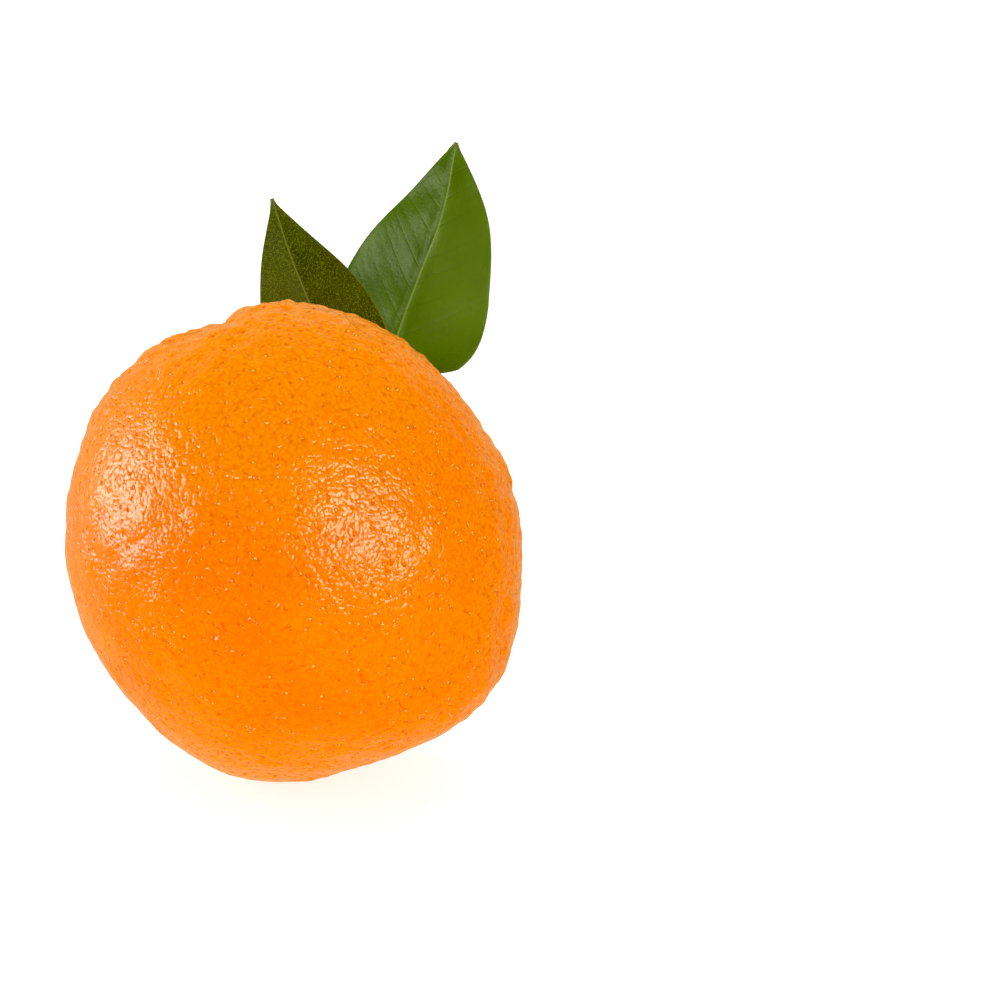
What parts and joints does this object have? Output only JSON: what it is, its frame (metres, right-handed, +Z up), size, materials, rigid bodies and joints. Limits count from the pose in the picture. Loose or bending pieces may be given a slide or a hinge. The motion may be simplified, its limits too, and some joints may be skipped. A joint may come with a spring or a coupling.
{
  "type": "orange with two leaves",
  "caption": "Whole round orange lying on its side on a small flat spot, with two leaves on the short clipped stalk at its stem end.",
  "frame": {"origin": "middle of the small flat spot that the fruit rests on", "axes": "+Z up, -Z out of the resting spot; +Y to the stem end, along the fruit's core, which tilts up 4 degrees; +X across"},
  "size_m": [0.0785, 0.1243, 0.0906],
  "materials": {
    "peel": "satin",
    "calyx": "matte",
    "bark": "matte",
    "leaf_dark": "satin",
    "leaf_bright": "satin"
  },
  "bodies": {
    "root": {"fruit": "peel", "calyx": "calyx", "twig": "bark", "leaf_left": "leaf_dark", "leaf_right": "leaf_bright"}
  },
  "joints": []
}
